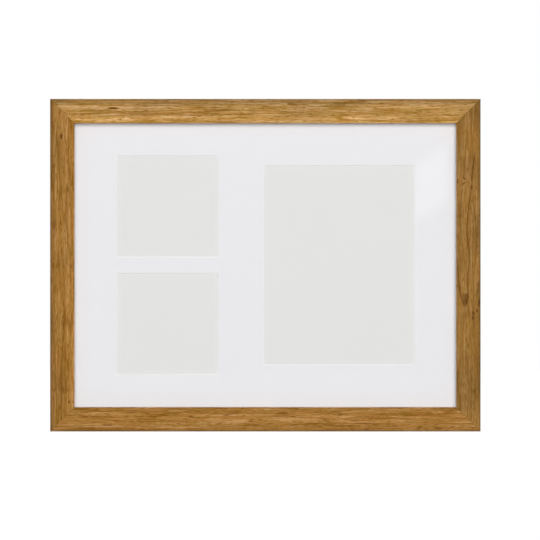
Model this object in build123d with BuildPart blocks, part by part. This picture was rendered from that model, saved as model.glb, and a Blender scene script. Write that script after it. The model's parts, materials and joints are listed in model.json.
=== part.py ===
from build123d import *
import os
from math import asin, cos, degrees, radians, sin, sqrt, tan

# A collage photo frame: four mitred rails round a glazed white mat with two square openings and a portrait one.
# All sizes are in millimetres. X runs to the viewer's right, Y from the viewer to the wall and Z up.
# The origin lies on the wall, midway between the two hooks that the frame hangs from.

# Openings in the mat
SQUARE_OPENING = 102.7
SQUARE_GAP = 17.5  # mat left between the two squares
PORTRAIT_WIDTH = 153.2
PORTRAIT_HEIGHT = 203.4
MIDDLE_GAP = 47.5  # mat left between the squares and the portrait opening
MAT_MARGIN = 43.3  # mat seen beside the squares and all round the rest of the portrait opening
BEVEL_ANGLE = 45.0  # slope of the cut edge of the mat
CARD_OVERLAP = 4.0  # how far a photo card reaches behind the mat

# Rails
RAIL_WIDTH = 25.0  # face width of each rail
REBATE_WIDTH = 5.5  # how far the lip reaches over the sheets
LIP_THICKNESS = 8.6  # from the rail's face to the seat of the glazing
FACE_RADIUS = 4.0  # rounded outer edge of the face
LIP_RADIUS = 1.2  # rounded inner edge of the face
BACK_CHAMFER = 0.8  # outer edge of the back

# Sheets in the rebate, from front to back
SHEET_CLEARANCE = 0.5  # play round the sheets
GLAZING_THICKNESS = 2.0
GLAZING_SEAM = 0.3  # dulled edges of the glazing
MAT_THICKNESS = 1.0
CARD_THICKNESS = 0.4
BOARD_THICKNESS = 3.0
BOARD_CHAMFER = 0.4

# V-nails that hold the mitres
NAIL_LEG = 6.0
NAIL_THICKNESS = 0.6
NAIL_DEPTH = 8.0
NAIL_EDGE = 2.5  # wood left between a nail and the edges of the rail's back
NAIL_PITCH = 7.5  # between the points of the nails in one mitre

# Turn buttons
LONG_RAIL_SPACING = 210.0  # between the two buttons of the top or bottom rail
SHORT_RAIL_SPACING = 110.0  # between the two buttons of the left or right rail
BUTTON_THICKNESS = 1.0
BUTTON_RADIUS = 4.5  # rounded end round the screw
BUTTON_TIP_RADIUS = 3.2
BUTTON_EDGE = 0.25  # rounded upper rim
BUTTON_GRIP = 6.5  # how far a button reaches over the board
LIFT_LENGTH = 3.5  # raised tip for a fingernail
LIFT_ANGLE = 22.0
BEAD_WIDTH = 2.4  # pressed stiffening bead
BEAD_HEIGHT = 0.5
BEAD_SLOPE = 40.0
BEAD_MARGIN = 1.0  # flat metal left at both ends of the bead
RUNNING_GAP = 0.1  # under a button, and between it and its screw

# Screws
BUTTON_SHANK = 2.9
BUTTON_HEAD = 5.6
BUTTON_HEAD_HEIGHT = 1.8
BUTTON_SCREW_LENGTH = 9.5
HANGER_SHANK = 3.2
HANGER_HEAD = 6.0
HANGER_HEAD_HEIGHT = 2.0
HANGER_SCREW_LENGTH = 11.5
HEAD_RIM = 0.5  # straight rim under the rounded top of a head
POINT_LENGTH = 2.5
RECESS_SPAN = 3.4  # cross recess for the driver
RECESS_WIDTH = 0.9
RECESS_DEPTH = 1.1
RECESS_DRAFT = 6.0
PILOT_CLEARANCE = 0.05

# D-ring hangers
HANGER_ABOVE = 50.0  # from the upper side buttons up to the bars of the rings
RING_WIRE = 2.5
RING_PLAY = 0.4  # straight bar on each side of the strap
RING_CORNER = 2.6
RING_STRAIGHT = 0.6  # straight side between corner and arch
STRAP_THICKNESS = 0.9
STRAP_WIDTH = 10.0
STRAP_END = 5.0  # strap past its screw
STRAP_END_FLAT = 1.0  # flat middle of the strap's rounded end
FOLD_GAP = 0.15  # between the two leaves of the folded strap
BAR_CLEARANCE = 0.15
RING_CLEARANCE = 0.3  # between the hanging ring and the strap
HEAD_CLEARANCE = 1.0  # between the hanging ring and the screw head

# Wall bumpers
BUMPER_DIAMETER = 11.0
BUMPER_FLAT = 6.0  # face that touches the wall
BUMPER_INSET = 34.0  # from the outer side edge
WALL_CLEARANCE = 0.4  # between the wall and the hanging rings

# Rails, worked out: the mat that is seen between them sets the size of the frame
sight_width = 2 * MAT_MARGIN + SQUARE_OPENING + MIDDLE_GAP + PORTRAIT_WIDTH
sight_height = 2 * MAT_MARGIN + PORTRAIT_HEIGHT
outer_width = sight_width + 2 * RAIL_WIDTH
outer_height = sight_height + 2 * RAIL_WIDTH
back_width = RAIL_WIDTH - REBATE_WIDTH
sheet_width = sight_width + 2 * (REBATE_WIDTH - SHEET_CLEARANCE)
sheet_height = sight_height + 2 * (REBATE_WIDTH - SHEET_CLEARANCE)
rail_depth = LIP_THICKNESS + GLAZING_THICKNESS + MAT_THICKNESS + CARD_THICKNESS + BOARD_THICKNESS

# Hangers, worked out: the ring leans out just enough to lie clear of its strap
ring_half = STRAP_WIDTH / 2 + RING_PLAY + RING_CORNER
ring_side = RING_CORNER + RING_STRAIGHT
bore_radius = RING_WIRE / 2 + BAR_CLEARANCE
loop_radius = bore_radius + STRAP_THICKNESS
leaves = 2 * STRAP_THICKNESS + FOLD_GAP
crossing = ring_side + sqrt(ring_half**2 - (STRAP_WIDTH / 2) ** 2)
lean = asin((leaves + RING_CLEARANCE + RING_WIRE / 2 - loop_radius) / crossing)
ring_reach = ring_side + ring_half + RING_WIRE / 2
strap_hole = ring_reach + HEAD_CLEARANCE + HANGER_HEAD / 2
strap_length = strap_hole + STRAP_END

# Places: the bumpers stand just proud of the hanging rings, and the hooks hold the raised rings
ring_height = loop_radius + (ring_side + ring_half) * sin(lean) + RING_WIRE / 2
wall_gap = ring_height + WALL_CLEARANCE
back_y = -wall_gap
front_y = back_y - rail_depth
glazing_y = front_y + LIP_THICKNESS
mat_y = glazing_y + GLAZING_THICKNESS
card_y = mat_y + MAT_THICKNESS
board_y = card_y + CARD_THICKNESS
bar_z = -(ring_reach - RING_WIRE)
hanger_rise = SHORT_RAIL_SPACING / 2 + HANGER_ABOVE
centre_z = bar_z - hanger_rise

WALLWARD = Vector(0, 1, 0)
CENTRE = Vector(0, 0, centre_z)

# Each rail: its outward direction, its length and how far its outer edge lies from the middle of the frame
rails = {
    "top_rail": (Vector(0, 0, 1), outer_width, outer_height / 2),
    "bottom_rail": (Vector(0, 0, -1), outer_width, outer_height / 2),
    "left_rail": (Vector(-1, 0, 0), outer_height, outer_width / 2),
    "right_rail": (Vector(1, 0, 0), outer_height, outer_width / 2),
}

# Each turn button: its rail and how far it lies from the middle of that rail, to the right or up
turn_buttons = {
    "top_left_turn_button": ("top_rail", -LONG_RAIL_SPACING / 2),
    "top_right_turn_button": ("top_rail", LONG_RAIL_SPACING / 2),
    "bottom_left_turn_button": ("bottom_rail", -LONG_RAIL_SPACING / 2),
    "bottom_right_turn_button": ("bottom_rail", LONG_RAIL_SPACING / 2),
    "left_lower_turn_button": ("left_rail", -SHORT_RAIL_SPACING / 2),
    "left_upper_turn_button": ("left_rail", SHORT_RAIL_SPACING / 2),
    "right_lower_turn_button": ("right_rail", -SHORT_RAIL_SPACING / 2),
    "right_upper_turn_button": ("right_rail", SHORT_RAIL_SPACING / 2),
}

# Each hanger: its rail
hangers = {"left": "left_rail", "right": "right_rail"}

# Each opening in the mat: middle across and up from the middle of the frame, width and height
square_x = (SQUARE_OPENING - sight_width) / 2 + MAT_MARGIN
square_z = (SQUARE_OPENING + SQUARE_GAP) / 2
portrait_x = (sight_width - PORTRAIT_WIDTH) / 2 - MAT_MARGIN
openings = {
    "upper_square": (square_x, square_z, SQUARE_OPENING, SQUARE_OPENING),
    "lower_square": (square_x, -square_z, SQUARE_OPENING, SQUARE_OPENING),
    "portrait": (portrait_x, 0, PORTRAIT_WIDTH, PORTRAIT_HEIGHT),
}

os.makedirs("parts", exist_ok=True)


def front_view(y):
    """The plane at this depth as the viewer sees it, centred on the frame. Extrusions from it come forward."""
    return Plane((0, y, centre_z), x_dir=(1, 0, 0), z_dir=-WALLWARD)


def back_point(rail, along):
    """A point on the middle line of a rail's back, this far to the right of or above the rail's middle."""
    outward, _, half_span = rails[rail]
    run = Vector(abs(outward.Z), 0, abs(outward.X))
    return CENTRE + WALLWARD * back_y + outward * (half_span - back_width / 2) + run * along


def hanger_screw_point(rail):
    """Where a hanger's screw enters the back of its rail."""
    return back_point(rail, hanger_rise - strap_hole)


def facing_wall(point, height=0.0):
    """A plane that faces the wall, this high above a point on a rail's back."""
    return Plane(point + WALLWARD * height, z_dir=WALLWARD)


# Thin V-nails, driven into the back of the mitres, with one leg in each rail and as many as the mitre takes
first_nail = NAIL_EDGE + NAIL_LEG
last_nail = back_width - NAIL_EDGE - NAIL_THICKNESS / 2
nail_count = 1 + int((last_nail - first_nail) / NAIL_PITCH)
leg_length = NAIL_LEG + NAIL_THICKNESS / 2
leg_middle = (NAIL_LEG - NAIL_THICKNESS / 2) / 2
with BuildPart() as corner_v_nails:
    with BuildSketch(front_view(back_y)):
        for side in (-1, 1):
            for end in (-1, 1):
                for place in range(nail_count):
                    inset = first_nail + place * NAIL_PITCH
                    apex_x = side * (outer_width / 2 - inset)
                    apex_z = end * (outer_height / 2 - inset)
                    with Locations((apex_x + side * leg_middle, apex_z)):
                        Rectangle(leg_length, NAIL_THICKNESS)
                    with Locations((apex_x, apex_z + end * leg_middle)):
                        Rectangle(NAIL_THICKNESS, leg_length)
    extrude(amount=NAIL_DEPTH)
corner_v_nails.part.label = "corner_v_nails"
export_step(corner_v_nails.part, "parts/corner_v_nails.step")

# Rails: one moulding profile, mitred at both ends, with a rebate for the sheets and pilot holes in the back
for name, (outward, length, half_span) in rails.items():
    outer_edge = CENTRE + WALLWARD * front_y + outward * half_span
    along = WALLWARD.cross(outward)
    button_points = [back_point(rail, place) for rail, place in turn_buttons.values() if rail == name]
    hanger_points = [hanger_screw_point(rail) for rail in hangers.values() if rail == name]
    with BuildPart() as rail_part:
        with BuildSketch(Plane(outer_edge, x_dir=-outward, z_dir=along)):
            with BuildLine():
                Polyline(
                    (0, 0),
                    (RAIL_WIDTH, 0),
                    (RAIL_WIDTH, LIP_THICKNESS),
                    (back_width, LIP_THICKNESS),
                    (back_width, rail_depth),
                    (0, rail_depth),
                    close=True,
                )
            make_face()
            fillet(vertices().group_by(Axis.Y)[0].sort_by(Axis.X)[0], FACE_RADIUS)
            fillet(vertices().group_by(Axis.Y)[0].sort_by(Axis.X)[-1], LIP_RADIUS)
            chamfer(vertices().group_by(Axis.Y)[-1].sort_by(Axis.X)[0], BACK_CHAMFER)
        extrude(amount=length / 2, both=True)
        for end in (-1, 1):
            corner = outer_edge + along * end * length / 2
            split(bisect_by=Plane(corner, z_dir=along * end - outward), keep=Keep.BOTTOM)
        add(corner_v_nails.part, mode=Mode.SUBTRACT)
        with Locations(*[facing_wall(point) for point in button_points]):
            Hole(BUTTON_SHANK / 2 + PILOT_CLEARANCE, BUTTON_SCREW_LENGTH)
        if hanger_points:
            with Locations(*[facing_wall(point) for point in hanger_points]):
                Hole(HANGER_SHANK / 2 + PILOT_CLEARANCE, HANGER_SCREW_LENGTH)
    rail_part.part.label = name
    export_step(rail_part.part, f"parts/{name}.step")

# Clear glazing, seated on the back of the lip
with BuildPart() as glazing_sheet:
    with BuildSketch(front_view(mat_y)):
        Rectangle(sheet_width, sheet_height)
    extrude(amount=GLAZING_THICKNESS)
    chamfer(glazing_sheet.faces().sort_by(Axis.Y)[0].edges(), GLAZING_SEAM)
    chamfer(glazing_sheet.faces().sort_by(Axis.Y)[-1].edges(), GLAZING_SEAM)
glazing_sheet.part.label = "glazing_sheet"
export_step(glazing_sheet.part, "parts/glazing_sheet.step")

# White mat, its openings cut on a slope that widens towards the viewer
with BuildPart() as mat_board:
    with BuildSketch(front_view(card_y)):
        Rectangle(sheet_width, sheet_height)
    extrude(amount=MAT_THICKNESS)
    with BuildSketch(front_view(card_y)):
        for middle_x, middle_z, width, height in openings.values():
            with Locations((middle_x, middle_z)):
                Rectangle(width, height)
    extrude(amount=MAT_THICKNESS, taper=-BEVEL_ANGLE, mode=Mode.SUBTRACT)
mat_board.part.label = "mat_board"
export_step(mat_board.part, "parts/mat_board.step")

# Photo cards, each a little larger than its opening
for name, (middle_x, middle_z, width, height) in openings.items():
    with BuildPart() as photo_card:
        with BuildSketch(front_view(board_y)):
            with Locations((middle_x, middle_z)):
                Rectangle(width + 2 * CARD_OVERLAP, height + 2 * CARD_OVERLAP)
        extrude(amount=CARD_THICKNESS)
    photo_card.part.label = f"photo_card_{name}"
    export_step(photo_card.part, f"parts/photo_card_{name}.step")

# Backing board, level with the backs of the rails
with BuildPart() as backing_board:
    with BuildSketch(front_view(back_y)):
        Rectangle(sheet_width, sheet_height)
    extrude(amount=BOARD_THICKNESS)
    chamfer(backing_board.faces().sort_by(Axis.Y)[-1].edges(), BOARD_CHAMFER)
backing_board.part.label = "backing_board"
export_step(backing_board.part, "parts/backing_board.step")

# Turn buttons: sheet-metal arms that point inwards over the board, with a raised tip and a pressed bead
button_reach = back_width / 2 + SHEET_CLEARANCE + BUTTON_GRIP
lift_start = button_reach - LIFT_LENGTH
lift_rise = LIFT_LENGTH * tan(radians(LIFT_ANGLE))
bead_start = BUTTON_HEAD / 2 + BEAD_MARGIN
bead_length = lift_start - BEAD_MARGIN - bead_start
for name, (rail, place) in turn_buttons.items():
    inward = -rails[rail][0]
    pivot = back_point(rail, place) + WALLWARD * RUNNING_GAP
    plan = Plane(pivot, x_dir=inward, z_dir=WALLWARD)
    with BuildPart() as turn_button:
        with BuildSketch(Plane(pivot, x_dir=inward, z_dir=inward.cross(WALLWARD))):
            with BuildLine():
                Polyline(
                    (-BUTTON_RADIUS, 0),
                    (lift_start, 0),
                    (button_reach, lift_rise),
                    (button_reach, lift_rise + BUTTON_THICKNESS),
                    (lift_start, BUTTON_THICKNESS),
                    (-BUTTON_RADIUS, BUTTON_THICKNESS),
                    close=True,
                )
            make_face()
        extrude(amount=BUTTON_RADIUS, both=True)
        with BuildSketch(plan):
            Circle(BUTTON_RADIUS)
            with Locations((button_reach - BUTTON_TIP_RADIUS, 0)):
                Circle(BUTTON_TIP_RADIUS)
            make_hull()
        extrude(amount=lift_rise + BUTTON_THICKNESS, mode=Mode.INTERSECT)
        upper = turn_button.faces().filter_by(lambda face: face.normal_at().Y > 0.5).edges()
        fillet(upper.filter_by(Axis(pivot, inward.cross(WALLWARD)), reverse=True), BUTTON_EDGE)
        with BuildSketch(plan.offset(BUTTON_THICKNESS)):
            with Locations((bead_start + bead_length / 2, 0)):
                SlotOverall(bead_length, BEAD_WIDTH)
        extrude(amount=BEAD_HEIGHT, taper=BEAD_SLOPE)
        with Locations(plan.offset(BUTTON_THICKNESS)):
            Hole(BUTTON_SHANK / 2 + RUNNING_GAP)
    turn_button.part.label = name
    export_step(turn_button.part, f"parts/{name}.step")


def pan_head_screw(shank, head, head_height, length):
    """A pan-head screw along Z: the head stands on the XY plane and the point is below."""
    with BuildPart() as screw:
        with BuildSketch(Plane.XZ):
            with BuildLine():
                Polyline(
                    (0, head_height),
                    (head / 2, head_height),
                    (head / 2, 0),
                    (shank / 2, 0),
                    (shank / 2, POINT_LENGTH - length),
                    (0, -length),
                    close=True,
                )
            make_face()
            fillet(vertices().group_by(Axis.Y)[-1].sort_by(Axis.X)[-1], head_height - HEAD_RIM)
        revolve(axis=Axis.Z)
        with BuildSketch(Plane.XY.offset(head_height)):
            Rectangle(RECESS_SPAN, RECESS_WIDTH)
            Rectangle(RECESS_WIDTH, RECESS_SPAN)
        extrude(amount=-RECESS_DEPTH, taper=RECESS_DRAFT, mode=Mode.SUBTRACT)
    return screw.part


# Screws that the turn buttons swing on
button_screw = pan_head_screw(BUTTON_SHANK, BUTTON_HEAD, BUTTON_HEAD_HEIGHT, BUTTON_SCREW_LENGTH)
button_screw_seat = BUTTON_THICKNESS + 2 * RUNNING_GAP
with BuildPart() as turn_button_screws:
    with Locations(*[facing_wall(back_point(*spot), button_screw_seat) for spot in turn_buttons.values()]):
        add(button_screw)
turn_button_screws.part.label = "turn_button_screws"
export_step(turn_button_screws.part, "parts/turn_button_screws.step")

# Screws through the hanger straps
hanger_screw = pan_head_screw(HANGER_SHANK, HANGER_HEAD, HANGER_HEAD_HEIGHT, HANGER_SCREW_LENGTH)
with BuildPart() as hanger_screws:
    with Locations(*[facing_wall(hanger_screw_point(rail), leaves) for rail in hangers.values()]):
        add(hanger_screw)
hanger_screws.part.label = "hanger_screws"
export_step(hanger_screws.part, "parts/hanger_screws.step")

# Hangers: a strap folded round the straight bar of a D-ring, and the ring hanging from it
for hand, rail in hangers.items():
    bar = back_point(rail, hanger_rise)
    with BuildPart() as hanger_strap:
        with BuildSketch(Plane(bar, x_dir=WALLWARD, z_dir=(1, 0, 0))):
            with Locations((loop_radius, 0)):
                Circle(loop_radius)
            Rectangle(STRAP_THICKNESS, strap_length, align=(Align.MIN, Align.MAX))
            with Locations((STRAP_THICKNESS + FOLD_GAP, 0)):
                Rectangle(STRAP_THICKNESS, strap_length, align=(Align.MIN, Align.MAX))
            with Locations((loop_radius, 0)):
                Circle(bore_radius, mode=Mode.SUBTRACT)
        extrude(amount=STRAP_WIDTH / 2, both=True)
        fillet(hanger_strap.edges().filter_by(Axis.Y).group_by(Axis.Z)[0], (STRAP_WIDTH - STRAP_END_FLAT) / 2)
        with Locations(facing_wall(hanger_screw_point(rail), leaves)):
            Hole(HANGER_SHANK / 2 + RUNNING_GAP)
    hanger_strap.part.label = f"{hand}_hanger_strap"
    export_step(hanger_strap.part, f"parts/{hand}_hanger_strap.step")

    bar_axis = bar + WALLWARD * loop_radius
    with BuildPart() as hanger_ring:
        with BuildLine(Plane(bar_axis, x_dir=(1, 0, 0), z_dir=(0, cos(lean), sin(lean)))):
            Line((0, 0), (ring_half - RING_CORNER, 0))
            JernArc((ring_half - RING_CORNER, 0), (1, 0), RING_CORNER, 90)
            Line((ring_half, RING_CORNER), (ring_half, ring_side))
            JernArc((ring_half, ring_side), (0, 1), ring_half, 180)
            Line((-ring_half, ring_side), (-ring_half, RING_CORNER))
            JernArc((-ring_half, RING_CORNER), (0, -1), RING_CORNER, 90)
            Line((RING_CORNER - ring_half, 0), (0, 0))
        with BuildSketch(Plane(bar_axis, z_dir=(1, 0, 0))):
            Circle(RING_WIRE / 2)
        sweep()
    hanger_ring.part.label = f"{hand}_hanger_ring"
    export_step(hanger_ring.part, f"parts/{hand}_hanger_ring.step")

# Rubber bumpers near the bottom corners, which keep the frame parallel to the wall
with BuildPart() as wall_bumpers:
    for side in (-1, 1):
        foot = back_point("bottom_rail", side * (outer_width / 2 - BUMPER_INSET))
        with BuildSketch(Plane(foot, x_dir=(1, 0, 0), z_dir=(0, 0, 1))):
            with BuildLine():
                Line((0, 0), (BUMPER_DIAMETER / 2, 0))
                TangentArc((BUMPER_DIAMETER / 2, 0), (BUMPER_FLAT / 2, wall_gap), tangent=(0, 1))
                Polyline((BUMPER_FLAT / 2, wall_gap), (0, wall_gap), (0, 0))
            make_face()
        revolve(axis=Axis(foot, WALLWARD))
wall_bumpers.part.label = "wall_bumpers"
export_step(wall_bumpers.part, "parts/wall_bumpers.step")

print("outer size", outer_width, outer_height, "rail depth", rail_depth, "wall gap", round(wall_gap, 3))
print("ring leans out", round(degrees(lean), 2), "degrees, middle of the frame at z", round(centre_z, 3))
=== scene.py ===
"""Dresses the collage photo frame: oak-effect rails, glazed white mat, hardboard back and plated fittings.

Lengths are in metres. X runs to the viewer's right, Y from the viewer to the wall and Z up.
"""

import json
from math import atan2, cos, degrees, hypot, pi, radians, sin, sqrt

import bmesh
import bpy
from bpy.props import FloatProperty, FloatVectorProperty, PointerProperty
from bpy.types import NodeSocket, Operator, Panel, PropertyGroup
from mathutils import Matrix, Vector


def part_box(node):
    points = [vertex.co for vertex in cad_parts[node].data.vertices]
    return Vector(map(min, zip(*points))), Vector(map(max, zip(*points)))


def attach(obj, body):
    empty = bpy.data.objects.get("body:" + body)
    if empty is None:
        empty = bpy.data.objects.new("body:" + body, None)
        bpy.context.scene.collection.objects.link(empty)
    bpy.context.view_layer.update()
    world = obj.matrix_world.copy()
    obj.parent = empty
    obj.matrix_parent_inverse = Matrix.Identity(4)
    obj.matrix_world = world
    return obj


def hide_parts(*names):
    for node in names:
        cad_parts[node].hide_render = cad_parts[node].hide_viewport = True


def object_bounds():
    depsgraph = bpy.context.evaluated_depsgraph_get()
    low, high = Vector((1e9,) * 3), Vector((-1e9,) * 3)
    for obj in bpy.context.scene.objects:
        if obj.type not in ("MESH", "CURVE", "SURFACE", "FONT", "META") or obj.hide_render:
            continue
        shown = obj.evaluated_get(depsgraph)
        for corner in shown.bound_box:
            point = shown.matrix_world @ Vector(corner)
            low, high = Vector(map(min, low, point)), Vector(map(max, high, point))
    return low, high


bl_info = {
    "name": "Collage Photo Frame",
    "version": (1, 0, 0),
    "blender": (4, 5, 0),
    "location": "3D View > Sidebar > Collage Frame",
    "description": "Dresses a collage photo frame and sets up a plain studio for it",
    "category": "Object",
}

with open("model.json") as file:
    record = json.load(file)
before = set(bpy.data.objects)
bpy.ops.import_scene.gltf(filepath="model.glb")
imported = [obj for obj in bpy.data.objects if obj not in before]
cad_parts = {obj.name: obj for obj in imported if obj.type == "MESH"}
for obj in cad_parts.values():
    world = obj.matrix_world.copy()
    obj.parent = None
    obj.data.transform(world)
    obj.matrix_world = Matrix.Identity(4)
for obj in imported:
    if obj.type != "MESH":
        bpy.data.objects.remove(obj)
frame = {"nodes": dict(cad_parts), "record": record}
cad_low, cad_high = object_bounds()

MM = 0.001
TINY = 1e-6

# Places read from the frame
top_low, top_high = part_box("top_rail")
FRONT_Y = top_low.y
BACK_Y = top_high.y
LIP_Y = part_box("glazing_sheet")[0].y
MAT_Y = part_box("mat_board")[0].y
HALF_WIDTH = top_high.x
HALF_HEIGHT = (top_high.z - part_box("bottom_rail")[0].z) / 2
CENTRE = Vector((0, 0, top_high.z - HALF_HEIGHT))
PIVOTS = {joint["child"]: Vector(joint["pos_m"]) for joint in frame["record"]["behaviour"]["joints"]}
TURN_BUTTONS = [node for node in frame["nodes"] if node.endswith("_turn_button")]

# Each rail: the turn that brings the top rail to its place, its length and its reach from the frame's middle
RAILS = {
    "top_rail": (0, 2 * HALF_WIDTH, HALF_HEIGHT),
    "right_rail": (pi / 2, 2 * HALF_HEIGHT, HALF_WIDTH),
    "bottom_rail": (pi, 2 * HALF_WIDTH, HALF_HEIGHT),
    "left_rail": (-pi / 2, 2 * HALF_HEIGHT, HALF_WIDTH),
}

# Flecks and knots in the foil, in millimetres on a rail turned to the top: place along it from its middle,
# inset from its outer edge, half length, half width, turn in degrees and how dark it is
RAIL_MARKS = {
    "top_rail": [
        (-155.3, 9.8, 5.6, 1.1, 0, 1.0),
        (-186.9, 16.6, 3.0, 0.7, 0, 0.5),
        (-44.5, 11.4, 19.0, 0.55, 0, 0.4),
        (-13.8, 13.7, 4.5, 3.0, 20, 0.22),
        (28.2, 5.9, 6.0, 1.2, -12, 0.5),
    ],
    "left_rail": [
        (131.6, 11.7, 2.9, 1.1, 0, 0.95),
        (141.0, 8.8, 2.4, 1.1, 0, 0.45),
        (77.8, 18.2, 3.4, 0.9, 0, 0.55),
        (74.8, 7.6, 2.2, 0.8, 0, 0.5),
        (40.8, 4.4, 5.0, 2.2, 0, 0.45),
        (-139.7, 19.5, 1.4, 1.0, 0, 0.8),
        (-108.0, 11.3, 34.0, 0.7, 0, 0.35),
    ],
    "right_rail": [
        (-88.6, 16.6, 1.9, 0.7, 45, 0.9),
        (-83.5, 17.3, 1.9, 0.7, -45, 0.9),
        (-85.1, 23.7, 2.6, 0.8, 0, 0.7),
        (-79.5, 9.4, 2.6, 1.2, 0, 0.6),
        (34.5, 14.6, 5.4, 2.0, 0, 0.6),
        (37.5, 16.8, 4.6, 2.8, 12, 0.55),
        (31.0, 17.2, 2.6, 4.0, 0, 0.4),
        (22.0, 2.6, 6.0, 1.5, 0, 0.45),
        (28.5, 3.8, 3.0, 1.0, -15, 0.5),
        (48.9, 7.6, 2.0, 0.9, 0, 0.95),
        (53.8, 7.9, 2.2, 1.2, 0, 0.7),
        (46.4, 3.8, 2.0, 0.9, 0, 0.85),
        (38.4, 1.6, 4.0, 1.2, 0, 0.85),
        (21.9, 21.4, 3.0, 0.8, 10, 0.55),
    ],
    "bottom_rail": [
        (183.9, 15.0, 2.8, 0.9, 0, 0.5),
        (161.0, 6.7, 5.5, 1.0, 0, 0.5),
        (137.1, 19.6, 6.5, 0.9, 0, 0.5),
        (74.8, 14.9, 3.4, 0.9, -12, 0.65),
        (37.0, 17.6, 6.5, 0.9, 10, 0.5),
        (-17.6, 19.2, 5.5, 1.0, 0, 0.6),
        (-72.1, 20.1, 6.5, 0.8, 0, 0.5),
        (-76.8, 17.9, 2.4, 0.9, 0, 0.6),
        (-91.5, 11.3, 4.5, 0.9, 0, 0.5),
        (-99.7, 8.8, 8.5, 0.8, 0, 0.5),
        (-103.5, 2.0, 2.8, 0.9, 0, 0.6),
        (-157.4, 4.0, 2.4, 1.3, 30, 0.6),
        (-167.4, 18.9, 4.5, 0.9, 0, 0.5),
        (-176.2, 3.4, 4.5, 1.1, 0, 0.6),
    ],
}
MARK_DRIFT = (0.8, 0, 0.9)  # millimetres by which noise frays the marks along X, Y and Z

# Fine cracks that wander down a rail and meet, as places along it and insets in millimetres
RAIL_CRACKS = {
    "right_rail": [
        [(-114.2, 6.3), (-91.8, 9.0), (-78.6, 9.5), (-54.3, 13.1), (-33.9, 14.2), (-5.3, 11.3), (13.0, 13.7),
         (22.0, 13.4), (32.5, 12.6), (38.7, 15.3)],
        [(-5.3, 23.8), (20.2, 22.3), (32.5, 20.2), (39.6, 17.2)],
    ],
}
CRACK_HALF_WIDTH = 0.65
CRACK_DARKNESS = 0.6
CRACK_OVERLAP = 0.62  # half length of a stretch of crack as a share of its run, so that the stretches meet

# Tones and painted shade across each rail: width of the outer band in millimetres and its gain, which paints
# shade along the rounded outer edge, where the inner band starts and its gain, and the gain along the lip.
# Then how blotchy the foil is, and how far its grain is calmed
RAIL_TONES_AND_PAINTED_SHADING = {
    "top_rail": (6.0, 0.76, 17.0, 1.17, 1.0, 0.12, 0.0),
    "right_rail": (2.5, 0.88, 20.0, 0.97, 0.95, 0.16, 0.2),
    "bottom_rail": (9.0, 0.93, 17.0, 0.95, 0.78, 0.0, 0.0),
    "left_rail": (5.0, 0.84, 17.0, 1.05, 1.05, 0.09, 0.0),
}
PAINTED_RIM_SHADE_GAIN = 0.7  # painted shade: gain that darkens the rounded outer rim of every rail


def srgb(red, green, blue):
    """A colour picked on screen, from 0 to 255, as the linear colour that shaders take."""
    def linear(level):
        share = level / 255
        return share / 12.92 if share <= 0.04045 else ((share + 0.055) / 1.055) ** 2.4
    return linear(red), linear(green), linear(blue)


def shade(base, *gains):
    """A lighter or darker colour, by one gain for all or by one each for red, green and blue."""
    if len(gains) == 1:
        gains *= 3
    return [min(1, level * gain) for level, gain in zip(base, gains)]


def amount(name, description, default, least=0.0, **fields):
    """A number that a user can change."""
    return FloatProperty(name=name, description=description, default=default, min=least, **fields)


def length(name, description, default):
    """A length that a user can change."""
    return amount(name, description, default, unit="LENGTH", precision=5)


def angle(name, description, default):
    """An angle, given in degrees, that a user can change."""
    return amount(name, description, radians(default), subtype="ANGLE")


def colour(name, description, *levels):
    """A colour that a user can change."""
    return FloatVectorProperty(
        name=name, description=description, default=srgb(*levels), size=3, subtype="COLOR", min=0, max=1
    )


class RailSettings(PropertyGroup):
    """Sizes and colours of the mouldings."""

    width: length("Width", "Width of a rail's face", top_high.z - top_low.z)
    rebate: length("Rebate", "How far the lip reaches over the sheets", 5.5 * MM)
    face_radius: length("Face radius", "Rounding of the outer edge of the face", 4 * MM)
    lip_radius: length("Lip radius", "Rounding of the inner edge of the face", 1.2 * MM)
    back_chamfer: length("Back chamfer", "Chamfer of the outer edge of the back", 0.8 * MM)
    eased_edge: length("Eased edge", "Small rounding of the cut edges", 0.15 * MM)
    foil_wrap: length("Foil wrap", "How far the foil is folded onto the back", 5 * MM)
    top: colour("Top rail", "Middle shade of the top rail's foil", 176, 135, 78)
    bottom: colour("Bottom rail", "Middle shade of the bottom rail's foil", 166, 121, 65)
    left: colour("Left rail", "Middle shade of the left rail's foil", 156, 113, 59)
    right: colour("Right rail", "Middle shade of the right rail's foil", 146, 108, 58)
    sheen: amount("Sheen", "Light that the satin foil adds to its colour", 0.012)
    fibreboard: colour("Fibreboard", "Bare core of the mouldings", 178, 143, 104)


class SheetSettings(PropertyGroup):
    """Colours of the sheets in the rebate."""

    mat: colour("Mat", "Face of the mat", 228, 228, 231)
    bevel: colour("Mat bevel", "Cut edge of the mat", 243, 243, 242)
    card: colour("Photo cards", "Plain cards behind the openings", 221, 221, 220)
    hardboard: colour("Hardboard", "Backing board", 141, 103, 67)
    hardboard_fibre: colour("Hardboard fibres", "Dark fibres in the backing board", 86, 58, 36)
    air_gap: length("Air gap", "Air between the glazing and what it lies against", 0.03 * MM)


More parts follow.
